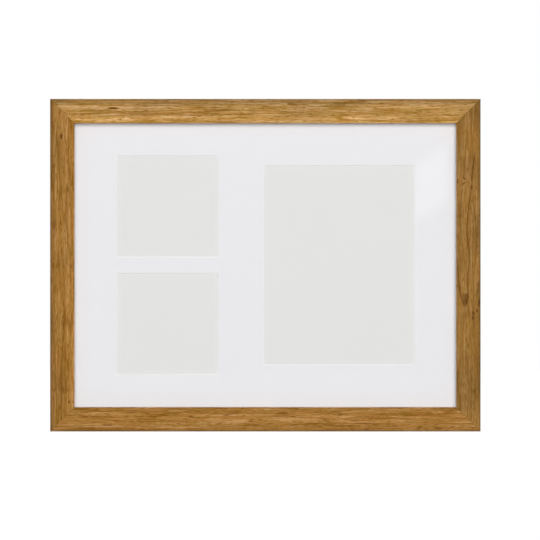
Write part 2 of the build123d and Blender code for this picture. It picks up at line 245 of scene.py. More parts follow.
class FittingSettings(PropertyGroup):
    """Sizes and colours of the metal and rubber fittings."""

    hole_gap: length("Hole gap", "Space round a screw or nail in the wood", 0.08 * MM)
    button_sheet: length("Button sheet", "Thickness of the turn buttons", 1 * MM)
    button_radius: length("Button radius", "Rounded end of a turn button round its screw", 4.5 * MM)
    button_edge: length("Button edge", "Rounding of a turn button's upper rim", 0.25 * MM)
    tip_radius: length("Tip radius", "Rounded tip of a turn button", 3.2 * MM)
    lift_length: length("Lift length", "Raised tip of a turn button", 3.5 * MM)
    lift_angle: angle("Lift angle", "Slope of the raised tip", 22)
    bead_width: length("Bead width", "Pressed stiffening bead of a turn button", 2.4 * MM)
    bead_height: length("Bead height", "How far the bead stands up", 0.5 * MM)
    bead_margin: length("Bead margin", "Flat metal left at both ends of the bead", 1 * MM)
    running_gap: length("Running gap", "Space round a screw in the metal", 0.1 * MM)
    button_shank: length("Button screw", "Diameter of the turn buttons' screws", 2.9 * MM)
    button_head: length("Button screw head", "Diameter of the heads on the turn buttons", 5.6 * MM)
    button_head_height: length("Button head height", "Height of the heads on the turn buttons", 1.8 * MM)
    hanger_shank: length("Hanger screw", "Diameter of the hangers' screws", 3.2 * MM)
    hanger_head: length("Hanger screw head", "Diameter of the heads on the hangers", 6 * MM)
    hanger_head_height: length("Hanger head height", "Height of the heads on the hangers", 2 * MM)
    head_rim: length("Head rim", "Straight rim under the rounded top of a head", 0.5 * MM)
    point_length: length("Point length", "Pointed end of a screw", 2.5 * MM)
    recess_span: length("Recess span", "Cross recess in the screw heads", 3.4 * MM)
    recess_width: length("Recess width", "Width of each slot of the cross recess", 0.9 * MM)
    recess_depth: length("Recess depth", "Depth of the cross recess", 1.1 * MM)
    strap_sheet: length("Strap sheet", "Thickness of the hanger straps", 0.9 * MM)
    strap_fold: length("Strap fold", "Gap between the leaves of a folded strap", 0.15 * MM)
    strap_end: length("Strap end", "How far a strap reaches past its screw", 5 * MM)
    bumper_flat: length("Bumper flat", "Face of a bumper that touches the wall", 6 * MM)
    zinc: colour("Zinc plating", "Bright zinc on the steel fittings", 186, 189, 193)
    dull_zinc: colour("Dulled zinc", "Zinc where it has dulled", 146, 149, 153)
    rubber: colour("Rubber", "Wall bumpers", 70, 70, 72)


class StageSettings(PropertyGroup):
    """The studio: camera, light and floor."""

    distance: length("Camera distance", "From the camera to the face of the frame", 4.0)
    picture_width: length("Picture width", "Width that the picture takes in at the frame's face", 0.5514)
    aim_right: length("Aim right", "How far right of the frame's middle the camera looks", 4.75 * MM)
    aim_down: length("Aim down", "How far below the frame's middle the camera looks", 4.9 * MM)
    floor_drop: length("Floor drop", "How far the floor lies below the hung frame", 0.25)
    floor_size: length("Floor size", "Width of the floor", 24)
    surround: amount("Surround", "Light from all round", 0.18)
    key: amount("Key light", "Light from the camera's side", 2.74)
    key_rise: angle("Key rise", "How far above the camera the key light is", 11.5)
    key_width: angle("Key width", "How wide the key light is", 33)
    rear: amount("Rear lights", "Light on the back and the sides of the frame", 1.9)
    panel: amount("Panel", "Glow of the panel that the glazing mirrors", 1.6, 1)
    panel_right: length("Panel right", "How far right of the frame's middle the panel stands", 335 * MM)
    panel_up: length("Panel up", "How far above the frame's middle the panel stands", 148 * MM)
    panel_width: length("Panel width", "Width of the panel", 84 * MM)
    panel_height: length("Panel height", "Height of the panel", 150 * MM)
    panel_slant: length("Panel slant", "How far the right edge of the panel is raised", 54 * MM)


class Nodes:
    """A shader node tree that is being wired up."""

    def __init__(self, tree):
        self.tree = tree

    def put(self, socket, value):
        """Links an input to a socket, or sets it to a plain value."""
        if isinstance(value, NodeSocket):
            self.tree.links.new(value, socket)
        elif socket.type == "RGBA":
            socket.default_value = (*value[:3], 1)
        else:
            socket.default_value = value

    def add(self, kind, inputs=None, **fields):
        """Adds a node, sets its fields and fills its inputs. Returns its outputs."""
        made = self.tree.nodes.new(kind)
        for field, value in fields.items():
            setattr(made, field, value)
        for name, value in (inputs or {}).items():
            self.put(made.inputs[name], value)
        return made.outputs

    def calc(self, operation, *terms):
        """The result of a sum."""
        return self.add("ShaderNodeMath", dict(enumerate(terms)), operation=operation)[0]

    def times(self, first, second, plus=0.0):
        """A product with something added to it."""
        return self.calc("MULTIPLY_ADD", first, second, plus)

    def between(self, value, low, high, start=0.0, end=1.0):
        """Goes smoothly from start to end as the value goes from low to high."""
        inputs = {"Value": value, "From Min": low, "From Max": high, "To Min": start, "To Max": end}
        return self.add("ShaderNodeMapRange", inputs, interpolation_type="SMOOTHSTEP")[0]

    def blend(self, factor, first, second, mode="MIX"):
        """A mix of two colours."""
        inputs = {0: factor, 6: first, 7: second}
        return self.add("ShaderNodeMix", inputs, data_type="RGBA", blend_type=mode)[2]

    def tint(self, under, over, mask, strength):
        """A colour with another one laid over it where the mask is."""
        return self.blend(self.times(mask, strength), under, over)

    def place(self):
        """Where a point of the surface lies on the object."""
        return self.add("ShaderNodeTexCoord")["Object"]

    def split(self, vector):
        """The X, Y and Z of a vector."""
        return self.add("ShaderNodeSeparateXYZ", {0: vector})

    def mapping(self, vector, kind="POINT", **inputs):
        """Coordinates that are moved, turned or scaled."""
        inputs = {name.capitalize(): value for name, value in inputs.items()}
        return self.add("ShaderNodeMapping", {"Vector": vector, **inputs}, vector_type=kind)[0]

    def vector_math(self, operation, *terms):
        """The result of a sum of vectors."""
        return self.add("ShaderNodeVectorMath", dict(enumerate(terms)), operation=operation)

    def drift(self, vector, push, reach):
        """Coordinates that coloured noise pushes aside, by up to these millimetres along X, Y and Z."""
        return self.vector_math("MULTIPLY_ADD", push, [step * MM for step in reach], vector)[0]

    def noise(self, vector, spacing=None, seed=0.0, detail=2.0, roughness=0.5, output="Fac"):
        """Soft noise, about 0.5 on average, that varies over these millimetres along X, Y and Z."""
        if spacing:
            vector = self.mapping(vector, scale=[1 / (step * MM) for step in spacing])
        inputs = {"Vector": vector, "W": seed, "Scale": 1.0, "Detail": detail, "Roughness": roughness}
        return self.add("ShaderNodeTexNoise", inputs, noise_dimensions="4D")[output]

    def bump(self, height, distance, strength):
        """A normal for fine relief."""
        return self.add("ShaderNodeBump", {"Height": height, "Distance": distance, "Strength": strength})[0]

    def group(self, name, **inputs):
        """A copy of a shared effect, with its own values."""
        inputs = {label.capitalize(): value for label, value in inputs.items()}
        return self.add("ShaderNodeGroup", inputs, node_tree=bpy.data.node_groups[name])


class Effect(Nodes):
    """A node group that materials share, with its sockets."""

    def __init__(self, name, inputs, outputs):
        super().__init__(bpy.data.node_groups.new(name, "ShaderNodeTree"))
        for side, sockets in (("INPUT", inputs), ("OUTPUT", outputs)):
            for label, kind in sockets.items():
                self.tree.interface.new_socket(label, in_out=side, socket_type=f"NodeSocket{kind}")
        self.given = self.add("NodeGroupInput")[:len(inputs)]

    def give(self, **results):
        """Ends the effect with what it puts out."""
        self.add("NodeGroupOutput", {label.capitalize(): value for label, value in results.items()})


class Finish(Nodes):
    """A material that starts as a bare Principled shader."""

    def __init__(self, name):
        self.material = bpy.data.materials.new(name)
        self.material.use_nodes = True
        super().__init__(self.material.node_tree)

    def shade(self, **inputs):
        """Fills inputs of the shader and returns the material."""
        sockets = self.tree.nodes["Principled BSDF"].inputs
        named = {socket.name.lower().replace(" ", "_"): socket for socket in sockets}
        for name, value in inputs.items():
            self.put(named[name], value)
        return self.material


def make_oak_grain():
    """Shared effect: oak grain along X, with bands, wavy streaks, rings, flecks, fibres and pores."""
    nodes = Effect(
        "Oak grain",
        {"Vector": "Vector", "Seed": "Float", "Dark": "Color", "Middle": "Color", "Light": "Color"},
        {"Color": "Color", "Height": "Float", "Pores": "Float"},
    )
    vector, seed, dark, middle, light = nodes.given
    sway = nodes.noise(vector, (60, 14, 14), seed, 2, output="Color")
    wobble = nodes.noise(vector, (8, 3, 3), seed, 1, output="Color")
    swayed = nodes.drift(nodes.drift(vector, sway, (0, 3, 3)), wobble, (0, 1, 1))
    bands = nodes.noise(swayed, (160, 4.5, 4.5), seed, 2)
    streaks = nodes.noise(swayed, (30, 1.2, 1.2), seed, 2, 0.55)
    flecks = nodes.noise(swayed, (6, 0.8, 0.8), seed, 1)
    fibres = nodes.noise(swayed, (4, 0.3, 0.3), seed, 2)
    dashes = nodes.noise(swayed, (3, 0.28, 0.28), nodes.calc("ADD", seed, 3.0), 1)
    warmth = nodes.noise(swayed, (14, 3, 3), nodes.calc("ADD", seed, 7.0), 1)
    rings = nodes.noise(swayed, (120, 5, 5), nodes.calc("ADD", seed, 11.0), 0)
    rings = nodes.calc("ABSOLUTE", nodes.calc("SUBTRACT", rings, 0.5))
    pores = nodes.between(dashes, 0.6, 0.7)
    grain = nodes.calc("SUBTRACT", bands, 1.07)
    for layer, weight in ((streaks, 1.4), (flecks, 0.4), (fibres, 0.4)):
        grain = nodes.times(layer, weight, grain)
    wood = nodes.blend(nodes.between(grain, 0.1, 0.5), dark, middle)
    wood = nodes.blend(nodes.between(grain, 0.5, 0.9), wood, light)
    wood = nodes.blend(nodes.between(rings, 0.05, 0.015, 0, 0.55), wood, dark)
    wood = nodes.tint(wood, dark, nodes.between(flecks, 0.44, 0.3), 0.9)
    wood = nodes.tint(wood, light, nodes.between(flecks, 0.6, 0.72), 0.3)
    wood = nodes.blend(nodes.between(warmth, 0.45, 0.7), wood, (1.0, 0.95, 0.9), "MULTIPLY")
    wood = nodes.blend(nodes.between(warmth, 0.55, 0.3), wood, (0.96, 1.0, 0.9), "MULTIPLY")
    wood = nodes.tint(wood, dark, pores, 0.4)
    height = nodes.times(streaks, 0.4, nodes.times(fibres, 0.3))
    nodes.give(color=wood, height=nodes.times(pores, -0.5, height), pores=pores)


def make_oak_mark():
    """Shared effect: one soft-edged fleck or knot at a place on a rail."""
    nodes = Effect(
        "Oak mark", dict.fromkeys(("Vector", "Centre", "Turn", "Size"), "Vector"), {"Mask": "Float"}
    )
    vector, centre, turn, size = nodes.given
    placed = nodes.mapping(vector, "TEXTURE", location=centre, rotation=turn, scale=size)
    nodes.give(mask=nodes.between(nodes.vector_math("LENGTH", placed)["Value"], 1.4, 0.65))


def make_board_fibres():
    """Shared effect: short fibres pressed in all directions in the plane of a board."""
    nodes = Effect(
        "Board fibres",
        {"Vector": "Vector", "Length": "Float", "Width": "Float"},
        {"Mask": "Float", "Mottle": "Float"},
    )
    vector, fibre_length, fibre_width = nodes.given
    size = nodes.add("ShaderNodeCombineXYZ", {0: fibre_length, 1: fibre_width, 2: fibre_width})[0]
    found = 0.0
    for step, turn in enumerate((0, 35, 70, 110, 145)):
        turned = nodes.mapping(vector, rotation=(0, radians(turn), 0))
        fibres = nodes.noise(nodes.vector_math("DIVIDE", turned, size)[0], seed=3.0 * step, detail=1)
        found = nodes.calc("MAXIMUM", nodes.between(fibres, 0.6, 0.72), found)
    nodes.give(mask=found, mottle=nodes.noise(vector, (6, 6, 6), 1.0, 4, 0.65))


def make_metal_wear():
    """Shared effect: mottled dulling and fine scratches on plated metal."""
    nodes = Effect("Metal wear", {"Vector": "Vector"}, {"Dulling": "Float", "Scratches": "Float"})
    (vector,) = nodes.given
    scratches = 0.0
    for step, turn in enumerate((20, -35, 75)):
        turned = nodes.mapping(vector, rotation=(0, radians(turn), radians(turn / 2)))
        lines = nodes.noise(turned, (6, 0.12, 0.12), 5.0 * step, 1)
        scratches = nodes.calc("MAXIMUM", nodes.between(lines, 0.66, 0.74), scratches)
    cloud = nodes.noise(vector, (3, 3, 3), 2.0, 4, 0.6)
    nodes.give(dulling=nodes.between(cloud, 0.35, 0.7), scratches=scratches)


def crack_marks(points):
    """The straight stretches of a crack, as marks on a rail."""
    marks = []
    for (along, inset), (next_along, next_inset) in zip(points, points[1:]):
        run, drop = next_along - along, next_inset - inset
        middle = ((along + next_along) / 2, (inset + next_inset) / 2)
        half_length = hypot(run, drop) * CRACK_OVERLAP
        marks.append((*middle, half_length, CRACK_HALF_WIDTH, -degrees(atan2(drop, run)), CRACK_DARKNESS))
    return marks


def add_marks(nodes, foil, burnt, rail, place, seed):
    """The foil of a rail with its flecks, knots and cracks."""
    reach = RAILS[rail][2] / MM
    frayed = nodes.drift(place, nodes.noise(place, (3, 0.8, 0.8), seed, 2, output="Color"), MARK_DRIFT)
    marks = list(RAIL_MARKS[rail])
    for crack in RAIL_CRACKS.get(rail, []):
        marks += crack_marks(crack)
    for along, inset, half_length, half_width, turn, darkness in marks:
        centre = Vector((along, 0, reach - inset)) + Vector(MARK_DRIFT) / 2
        size = (half_length * MM, 1, half_width * MM)
        turn = (0, -radians(turn), 0)
        mark = nodes.group("Oak mark", vector=frayed, centre=centre * MM, turn=turn, size=size)
        foil = nodes.tint(foil, burnt, mark["Mask"], darkness)
    return foil


def edge_tones_and_painted_shade(nodes, rail, place, inset, width, seed):
    """How much lighter or darker a rail's face is: painted shade in a band along its rounded outer edge and
    on its outer rim, a band of another gain along its inner part, and a gain along its lip.
    """
    band, outer_painted_shade_gain, inner_start, inner_gain, lip_gain = RAIL_TONES_AND_PAINTED_SHADING[rail][:5]
    uneven = nodes.noise(place, (25, 6, 6), seed, 3)
    edge = nodes.times(uneven, 5 * MM, nodes.calc("SUBTRACT", inset, 2.5 * MM))
    # Painted shade in a band along the rounded outer edge
    gain = nodes.between(edge, (band - 1) * MM, (band + 1) * MM, outer_painted_shade_gain, 1.0)
    for tone in (
        nodes.between(edge, inner_start * MM, (inner_start + 3) * MM, 1.0, inner_gain),
        # Painted shade on the rounded outer rim
        nodes.between(inset, 0.3 * MM, 1.6 * MM, PAINTED_RIM_SHADE_GAIN, 1.0),
        nodes.between(inset, width - 1.8 * MM, width - 0.9 * MM, 1.0, lip_gain),
    ):
        gain = nodes.times(gain, tone)
    return gain


def oak_foil(rail, tone, settings, seed):
    """Oak-effect foil on one rail, with painted shade along its rounded edges, a painted reflection that
    lightens its lip wall, and the bare board that shows on its back.
    """
    turn, rail_length, reach = RAILS[rail]
    width = settings.width
    blotchiness, calm = RAIL_TONES_AND_PAINTED_SHADING[rail][5:]
    nodes = Finish(f"oak_foil_{rail}")

    # The rail as if it were turned to the top, with the frame's middle as the origin
    place = nodes.mapping(nodes.place(), "TEXTURE", location=CENTRE, rotation=(0, turn, 0))
    along, depth, outward = nodes.split(place)
    inset = nodes.calc("SUBTRACT", reach, outward)
    tone = [max(level - settings.sheen, 0.004) for level in tone]
    dark, light = shade(tone, 0.55, 0.45, 0.08), shade(tone, 1.42, 1.62, 2.8)
    burnt = shade(tone, 0.34, 0.22, 0)
    grain = nodes.group("Oak grain", vector=place, seed=seed, dark=dark, middle=tone, light=light)
    foil = nodes.blend(calm, grain["Color"], tone)

    # Painted shade on the rounded edges of the face, other tones in bands, a painted reflection that makes
    # the lip wall paler, and broad blotches
    front = nodes.between(depth, FRONT_Y + 6 * MM, FRONT_Y + 3 * MM)
    tones_and_shading = edge_tones_and_painted_shade(nodes, rail, place, inset, width, seed)
    gain = nodes.times(front, nodes.calc("SUBTRACT", tones_and_shading, 1.0), 1.0)
    over_lip = nodes.between(inset, width - 0.7 * MM, width - 0.3 * MM)
    # Painted reflection: the lip's inner wall is 1.6 times lighter, as if it mirrored the white mat
    gain = nodes.times(gain, nodes.between(over_lip, 0, 1, 1.0, 1.6))
    clouds = nodes.noise(place, (40, 14, 14), seed + 17, 2)
    gain = nodes.times(gain, nodes.between(clouds, 0.3, 0.7, 1 - blotchiness, 1 + blotchiness))
    foil = nodes.blend(1.0, foil, gain, "MULTIPLY")
    foil = add_marks(nodes, foil, burnt, rail, place, seed)

    # A dark line where the mitres meet
    to_end = nodes.calc("SUBTRACT", rail_length / 2, nodes.calc("ABSOLUTE", along))
    past = nodes.calc("ABSOLUTE", nodes.calc("SUBTRACT", to_end, inset))
    foil = nodes.tint(foil, burnt, nodes.between(past, 0.55 * MM, 0.1 * MM), 0.4)

    # Bare board on the back and in the rebate, past the folded edge of the foil
    fibres = nodes.group("Board fibres", vector=place, length=2.2 * MM, width=0.22 * MM)
    board = nodes.blend(fibres["Mottle"], shade(settings.fibreboard, 0.82), shade(settings.fibreboard, 1.15))
    board = nodes.tint(board, shade(settings.fibreboard, 0.5), fibres["Mask"], 0.35)
    ragged = nodes.noise(place, (14, 14, 14), seed, 3)
    wrap = nodes.times(ragged, 1.2 * MM, settings.foil_wrap - 0.6 * MM)
    folded_past = nodes.between(nodes.calc("SUBTRACT", inset, wrap), 0, 0.12 * MM)
    bare = nodes.times(folded_past, nodes.between(depth, LIP_Y - 0.3 * MM, LIP_Y - 0.2 * MM))

    satin = nodes.times(grain["Pores"], 0.14, 0.44)
    satin = nodes.times(satin, nodes.between(over_lip, 0, 1, 1.0, 0.2))
    relief = nodes.times(fibres["Mask"], nodes.times(bare, 0.6), grain["Height"])
    return nodes.shade(
        base_color=nodes.blend(bare, foil, board),
        roughness=nodes.calc("MAXIMUM", satin, nodes.times(bare, 0.85)),
        specular_ior_level=0.18,
        normal=nodes.bump(relief, 0.12 * MM, 0.35),
    )


def paper(name, face, cut=None):
    """Matt board or card with a faint fibre, and the paler core on the cut edge of a mat."""
    nodes = Finish(name)
    place = nodes.place()
    fibres = nodes.group("Board fibres", vector=place, length=3 * MM, width=0.3 * MM)
    surface = nodes.blend(fibres["Mottle"], shade(face, 0.985), shade(face, 1.015))
    surface = nodes.tint(surface, shade(face, 0.9), fibres["Mask"], 0.05)
    if cut:
        core = nodes.between(nodes.split(place)["Y"], MAT_Y + 0.02 * MM, MAT_Y + 0.1 * MM)
        layers = nodes.noise(place, (4, 0.25, 4), 4.0, 2)
        surface = nodes.blend(core, surface, nodes.blend(layers, shade(cut, 0.97), cut))
    relief = nodes.times(fibres["Mask"], 0.5, fibres["Mottle"])
    normal = nodes.bump(relief, 0.03 * MM, 0.25)
    return nodes.shade(base_color=surface, roughness=0.9, specular_ior_level=0.2, normal=normal)


def hardboard(settings):
    """Pressed brown board with dark fibres and a mottled face."""
    nodes = Finish("hardboard")
    place = nodes.place()
    fibres = nodes.group("Board fibres", vector=place, length=4.5 * MM, width=0.35 * MM)
    fine = nodes.group("Board fibres", vector=place, length=1.6 * MM, width=0.16 * MM)
    face = settings.hardboard
    surface = nodes.blend(fibres["Mottle"], shade(face, 0.78), shade(face, 1.2))
    surface = nodes.tint(surface, settings.hardboard_fibre, fine["Mask"], 0.4)
    surface = nodes.tint(surface, settings.hardboard_fibre, fibres["Mask"], 0.5)
    relief = nodes.calc("ADD", fibres["Mask"], fine["Mask"])
    return nodes.shade(
        base_color=surface,
        roughness=nodes.times(fibres["Mottle"], 0.25, 0.5),
        specular_ior_level=0.3,
        normal=nodes.bump(relief, 0.06 * MM, 0.4),
    )


def zinc_plate(settings):
    """Bright zinc on pressed steel, dulled in clouds and finely scratched."""
    nodes = Finish("zinc_plate")
    wear = nodes.group("Metal wear", vector=nodes.place())
    surface = nodes.blend(wear["Dulling"], settings.zinc, settings.dull_zinc)
    surface = nodes.tint(surface, (0.9, 0.9, 0.9), wear["Scratches"], 0.3)
    rough = nodes.times(wear["Scratches"], 0.12, nodes.times(wear["Dulling"], 0.16, 0.26))
    normal = nodes.bump(wear["Scratches"], 0.02 * MM, 0.3)
    return nodes.shade(base_color=surface, metallic=1.0, roughness=rough, normal=normal)


def bumper_rubber(settings):
    """Soft matt rubber with a faint moulded grain."""
    nodes = Finish("bumper_rubber")
    place = nodes.place()
    bloom = nodes.noise(place, (4, 4, 4), 1.0, 3)
    return nodes.shade(
        base_color=nodes.blend(nodes.between(bloom, 0.4, 0.75), settings.rubber, shade(settings.rubber, 1.5)),
        roughness=nodes.times(bloom, 0.2, 0.55),
        normal=nodes.bump(nodes.noise(place, (0.4, 0.4, 0.4), 0.0, 3), 0.04 * MM, 0.35),
    )


def clear_glazing():
    """Clear polished picture glazing."""
    glass = Finish("clear_glazing")
    return glass.shade(base_color=(0.99, 0.99, 0.99), roughness=0.0, ior=1.5, transmission_weight=1.0)


def dress(node, material):
    """Gives a node of the frame its finish."""
    for slot in frame["nodes"][node].material_slots:
        slot.material = material


def stand_for(piece, node, body, material):
    """Gives a piece its finish and lets it stand for a node of the frame."""
    piece.data.materials.clear()
    piece.data.materials.append(material)
    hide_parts(node)
    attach(piece, body)


def take(*pieces):
    """Selects only these pieces and makes the first one active."""
    bpy.ops.object.select_all(action="DESELECT")
    for piece in pieces:
        piece.select_set(True)
    bpy.context.view_layer.objects.active = pieces[0]
    return pieces[0]


def join(pieces):
    """Makes one object of several."""
    take(*pieces)
    bpy.ops.object.join()
    return pieces[0]


def settle(piece, place=(0, 0, 0), turn=0.0):
    """Turns a piece about Y, moves it and sets both in its mesh."""
    take(piece)
    piece.rotation_euler.y = turn
    piece.location = place
    bpy.ops.object.transform_apply()
    return piece


def copy_mesh(source, name):
    """A copy of an object that has its own mesh."""
    copy = bpy.data.objects.new(name, source.data.copy())
    copy.data.name = name
    bpy.context.scene.collection.objects.link(copy)
    return take(copy)


def repeat(pattern, name, boxes, seat_y, turn=0.0):
    """One piece made of copies of a pattern, in the middle of each box and each turned by a further step."""
    copies = []
    for step, (low, high) in enumerate(boxes):
        middle = (low + high) / 2
        copies.append(settle(copy_mesh(pattern, name), (middle.x, seat_y, middle.z), step * turn))
    bpy.data.objects.remove(pattern)
    return join(copies)


def name_new(name):
    """Names the object that was just added."""
    piece = bpy.context.object
    piece.name = piece.data.name = name
    return piece


def add_block(name, low, high):
    """A block between two corners, the start of a piece."""
    low, high = Vector(low), Vector(high)
    bpy.ops.object.select_all(action="DESELECT")
    bpy.ops.mesh.primitive_cube_add(size=1, location=(low + high) / 2, scale=high - low)
    bpy.ops.object.transform_apply()
    return name_new(name)


def add_sheet(name, width, height, place, turn=0.0):
    """A flat sheet centred on a place, turned up about X: the start of a piece or part of the stage."""
    bpy.ops.object.select_all(action="DESELECT")
    bpy.ops.mesh.primitive_plane_add(size=1, location=place, rotation=(turn, 0, 0))
    bpy.context.object.scale = (width, height, 1)
    bpy.ops.object.transform_apply(location=False)
    return name_new(name)


def add_disc(name, radius, sides, y=0.0):
    """A flat disc round the Y axis, open for editing: the start of a turned or pressed piece."""
    bpy.ops.object.select_all(action="DESELECT")
    bpy.ops.mesh.primitive_circle_add(
        vertices=sides, radius=radius, fill_type="NGON", location=(0, y, 0), rotation=(pi / 2, 0, 0)
    )
    bpy.ops.object.transform_apply()
    piece = name_new(name)
    open_up()
    return piece


def open_up():
    """Opens the active piece for editing, with everything selected."""
    bpy.ops.object.mode_set(mode="EDIT")
    bpy.ops.mesh.select_all(action="SELECT")


def close_up(merge=True):
    """Merges doubles, turns all normals outwards and closes the piece."""
    bpy.ops.mesh.select_all(action="SELECT")
    if merge:
        bpy.ops.mesh.remove_doubles(threshold=TINY)
    bpy.ops.mesh.normals_make_consistent(inside=False)
    bpy.ops.object.mode_set(mode="OBJECT")


def pick(piece, kind, test):
    """Selects only the vertices, edges or faces of the open piece that pass the test."""
    bpy.ops.mesh.select_mode(type=kind)
    bpy.ops.mesh.select_all(action="DESELECT")
    mesh = bmesh.from_edit_mesh(piece.data)
    for item in {"VERT": mesh.verts, "EDGE": mesh.edges, "FACE": mesh.faces}[kind]:
        if test(item):
            item.select_set(True)
    bmesh.update_edit_mesh(piece.data)


def lies_at(**place):
    """A test for the edges that have both ends at these coordinates."""
    def test(edge):
        return all(
            abs(getattr(end.co, axis) - value) < TINY for end in edge.verts for axis, value in place.items()
        )
    return test


def extrude(*step):
    """Extrudes what is selected along X, Y and Z."""
    bpy.ops.mesh.extrude_region_move(TRANSFORM_OT_translate={"value": step})


def slice_open(point, normal, **options):
    """Cuts the whole of the open piece along a plane."""
    bpy.ops.mesh.select_all(action="SELECT")
    bpy.ops.mesh.bisect(plane_co=point, plane_no=normal, **options)


def apply_modifier(piece, kind, **fields):
    """Adds a modifier to the piece and applies it."""
    take(piece)
    modifier = piece.modifiers.new(kind.title(), kind)
    for field, value in fields.items():
        setattr(modifier, field, value)
    bpy.ops.object.modifier_apply(modifier=modifier.name)


def combine(piece, tool, operation="DIFFERENCE", keep_tool=False):
    """Cuts the tool's shape out of the piece or adds it, and takes the tool away if it isn't kept."""
    apply_modifier(piece, "BOOLEAN", object=tool, operation=operation, solver="EXACT")
    if not keep_tool:
        bpy.data.objects.remove(tool)


def ease_edges(piece, width, limit):
    """Rounds the edges that turn by more than this limit in degrees."""
    turn = radians(limit)
    apply_modifier(piece, "BEVEL", width=width, segments=2, limit_method="ANGLE", angle_limit=turn)


def smooth(piece, limit):
    """Smooths the shading over edges below this limit in degrees, and keeps flat faces flat."""
    take(piece)
    bpy.ops.object.shade_smooth_by_angle(angle=radians(limit))
    apply_modifier(piece, "WEIGHTED_NORMAL", keep_sharp=True)
    return piece


def open_copy(node):
    """A merged copy of a node's mesh, open for editing with everything selected."""
    copy = copy_mesh(frame["nodes"][node], node + "_copy")
    open_up()
    bpy.ops.mesh.remove_doubles(threshold=TINY)
    return copy


def solid_boxes(node):
    """The lowest and highest corners of each of the like solids in a node."""
    open_copy(node)
    bpy.ops.mesh.separate(type="LOOSE")
    bpy.ops.object.mode_set(mode="OBJECT")
    boxes = [[Vector(solid.bound_box[corner]) for corner in (0, 6)] for solid in bpy.context.selected_objects]
    bpy.ops.object.delete()
    return sorted(boxes, key=lambda box: (round(box[0].x, 5), round(box[0].z, 5)))


def add_turned(name, sides, steps):
    """A turned piece round the Y axis, open for editing, through these depths and radii from end to end."""
    (y, radius), *others = steps
    piece = add_disc(name, radius, sides, y)
    for next_y, next_radius in others:
        extrude(0, next_y - y, 0)
        ratio = next_radius / radius
        bpy.ops.transform.resize(value=(ratio, 1, ratio), center_override=(0, next_y, 0))
        y, radius = next_y, next_radius
    return piece


def add_bore(radius, low_y, high_y, x=0.0, z=0.0):
    """A round bar along Y that cuts a hole."""
    bore = add_turned("bore", 32, [(low_y, radius), (high_y, radius)])
    close_up()
    return settle(bore, (x, 0, z))


def make_fixing_cutter(settings):
    """The space that nails and screws take up in the wood."""
    gap = settings.hole_gap
    shapes = [open_copy("corner_v_nails")]
    bpy.ops.mesh.normals_make_consistent(inside=False)
    bpy.ops.transform.shrink_fatten(value=gap, use_even_offset=True)
    bpy.ops.object.mode_set(mode="OBJECT")
    shanks = {"turn_button_screws": settings.button_shank, "hanger_screws": settings.hanger_shank}
    for node, shank in shanks.items():
        for low, high in solid_boxes(node):
            middle = (low + high) / 2
            shapes.append(add_bore(shank / 2 + gap, low.y - gap, BACK_Y + 1 * MM, middle.x, middle.z))
    return join(shapes)


def make_rail(name, settings):
    """A length of moulding with a rebate, rounded edges and mitred ends, turned to its side of the frame."""
    turn, rail_length, reach = RAILS[name]
    end = rail_length / 2
    inner = reach - settings.width
    step = inner + settings.rebate
    rail = add_block(name + "_moulding", (-end, FRONT_Y, inner), (end, LIP_Y, reach))
    open_up()
    slice_open((0, 0, step), (0, 0, 1))
    pick(rail, "FACE", lambda face: face.normal.y > 0.9 and face.calc_center_median().z > step)
    extrude(0, BACK_Y - LIP_Y, 0)
    for y, z, offset, segments in (
        (FRONT_Y, reach, settings.face_radius, 10),
        (FRONT_Y, inner, settings.lip_radius, 5),
        (BACK_Y, reach, settings.back_chamfer, 1),
    ):
        pick(rail, "EDGE", lies_at(y=y, z=z))
        bpy.ops.mesh.bevel(offset=offset, segments=segments, affect="EDGES")
    for side in (-1, 1):
        slice_open((side * end, 0, reach), (side, 0, -1), use_fill=True, clear_outer=True)
    close_up()
    ease_edges(rail, settings.eased_edge, 35)
    return settle(rail, CENTRE, turn)


def make_screw(shank, head, head_height, reach, settings):
    """A pan-head screw along Y, with its head on the origin towards the wall and its point in the wood."""
    rim = settings.head_rim
    dome = head_height - rim
    arcs = 7
    blunt = 0.15 * MM
    eased = 0.1 * MM
    fine_edge = 0.06 * MM
    steps = [(-reach, blunt), (settings.point_length - reach, shank / 2), (0, shank / 2)]
    steps += [(0, head / 2 - eased), (eased, head / 2)]
    for step in range(arcs + 1):
        rise = step / arcs * pi / 2
        steps.append((rim + dome * sin(rise), head / 2 - dome + dome * cos(rise)))
    screw = add_turned("screw", 32, steps)
    close_up(merge=False)

    # The cross recess, narrower at its floor
    half_span, half_width = settings.recess_span / 2, settings.recess_width / 2
    floor = head_height - settings.recess_depth
    clear = head_height + 0.5 * MM
    taper = (0.86, 1, 0.6)
    for turn in (0, pi / 2):
        slot = add_block("slot", (-half_span, floor, -half_width), (half_span, clear, half_width))
        open_up()
        pick(slot, "FACE", lambda face: face.normal.y < -0.9)
        bpy.ops.transform.resize(value=taper, center_override=(0, floor, 0))
        bpy.ops.object.mode_set(mode="OBJECT")
        combine(screw, settle(slot, turn=turn))
    ease_edges(screw, fine_edge, 40)
    return smooth(screw, 35)


def make_button_sheet(reach, settings):
    """The flat sheet of a turn button in the XZ plane: round about the origin, with a narrower end below."""
    sheet = settings.button_sheet
    button = add_disc("turn_button", settings.button_radius, 64)
    pick(button, "VERT", lambda vert: vert.co.z < -TINY)
    ratio = settings.tip_radius / settings.button_radius
    bpy.ops.transform.resize(value=(ratio, 1, ratio), center_override=(0, 0, 0))
    bpy.ops.transform.translate(value=(0, 0, settings.tip_radius - reach))
    bpy.ops.mesh.select_all(action="SELECT")
    extrude(0, sheet, 0)
    bpy.ops.mesh.select_all(action="SELECT")
    bpy.ops.mesh.normals_make_consistent(inside=False)
    pick(button, "EDGE", lambda edge: all(vert.co.y > sheet - TINY for vert in edge.verts))
    bpy.ops.mesh.bevel(offset=settings.button_edge, segments=4, affect="EDGES")

    # Split down the middle, so that no face runs right round the bead and the hole
    slice_open((0, 0, 0), (1, 0, 0))
    close_up()
    return button


